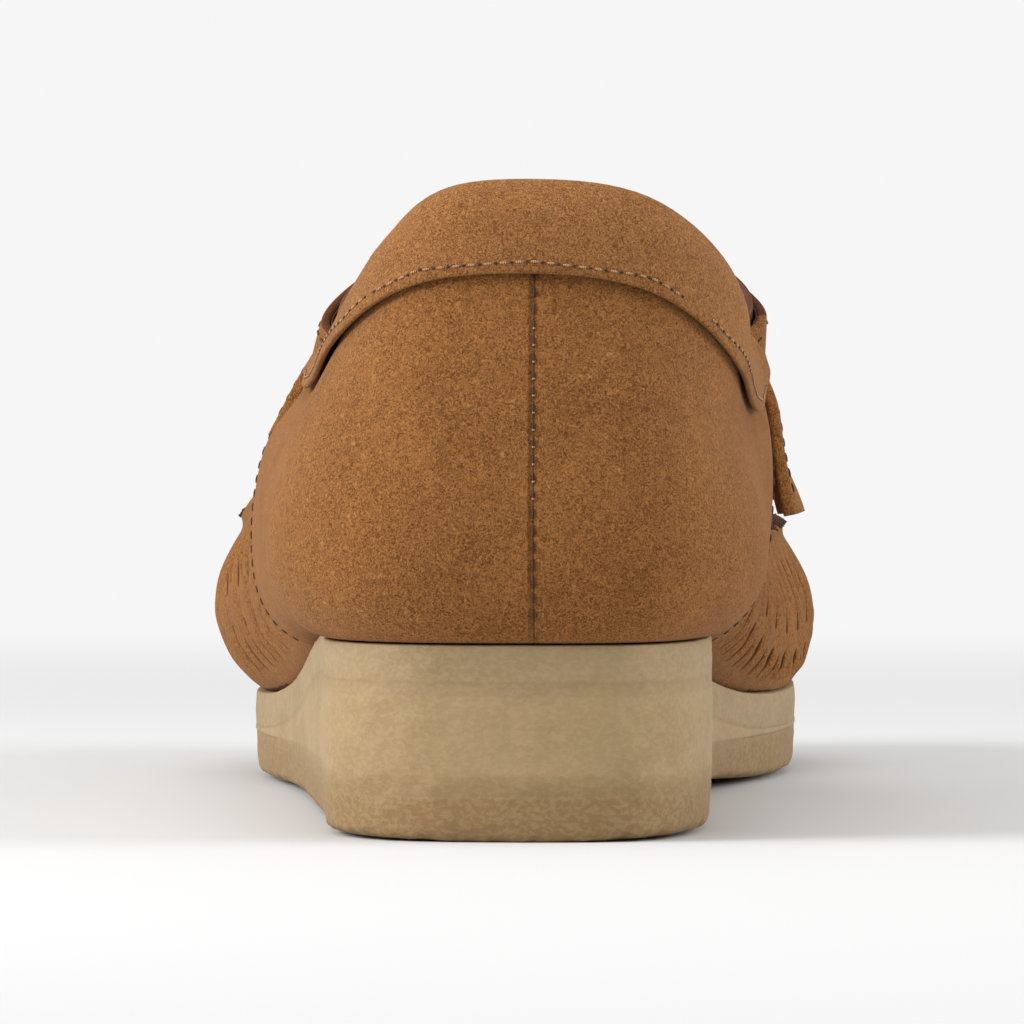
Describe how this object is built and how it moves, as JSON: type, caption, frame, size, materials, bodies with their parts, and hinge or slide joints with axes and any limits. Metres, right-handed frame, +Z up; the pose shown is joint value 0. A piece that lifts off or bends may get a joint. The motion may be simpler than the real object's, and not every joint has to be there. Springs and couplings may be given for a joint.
{
  "type": "woven loafer",
  "caption": "Left suede slip-on loafer with a woven vamp wall, padded collar, saddle strap and layered crepe wedge sole",
  "frame": {"origin": "bottom centre of the whole shoe's box, on the floor", "axes": "+Z up from the floor; +Y from heel to toe; +X towards the medial (inner) side of this left shoe"},
  "size_m": [0.1092, 0.3044, 0.1079],
  "materials": {
    "suede": "napped tan suede, matte",
    "lining": "smooth brown leather, low sheen",
    "crepe": "natural crepe rubber, matte, slightly translucent"
  },
  "bodies": {
    "root": {"outsole": "crepe", "heel_wedge": "crepe", "midsole": "crepe", "insole": "lining", "upper": "suede", "collar": "suede", "tongue": "lining", "saddle_strap": "suede"}
  },
  "joints": []
}
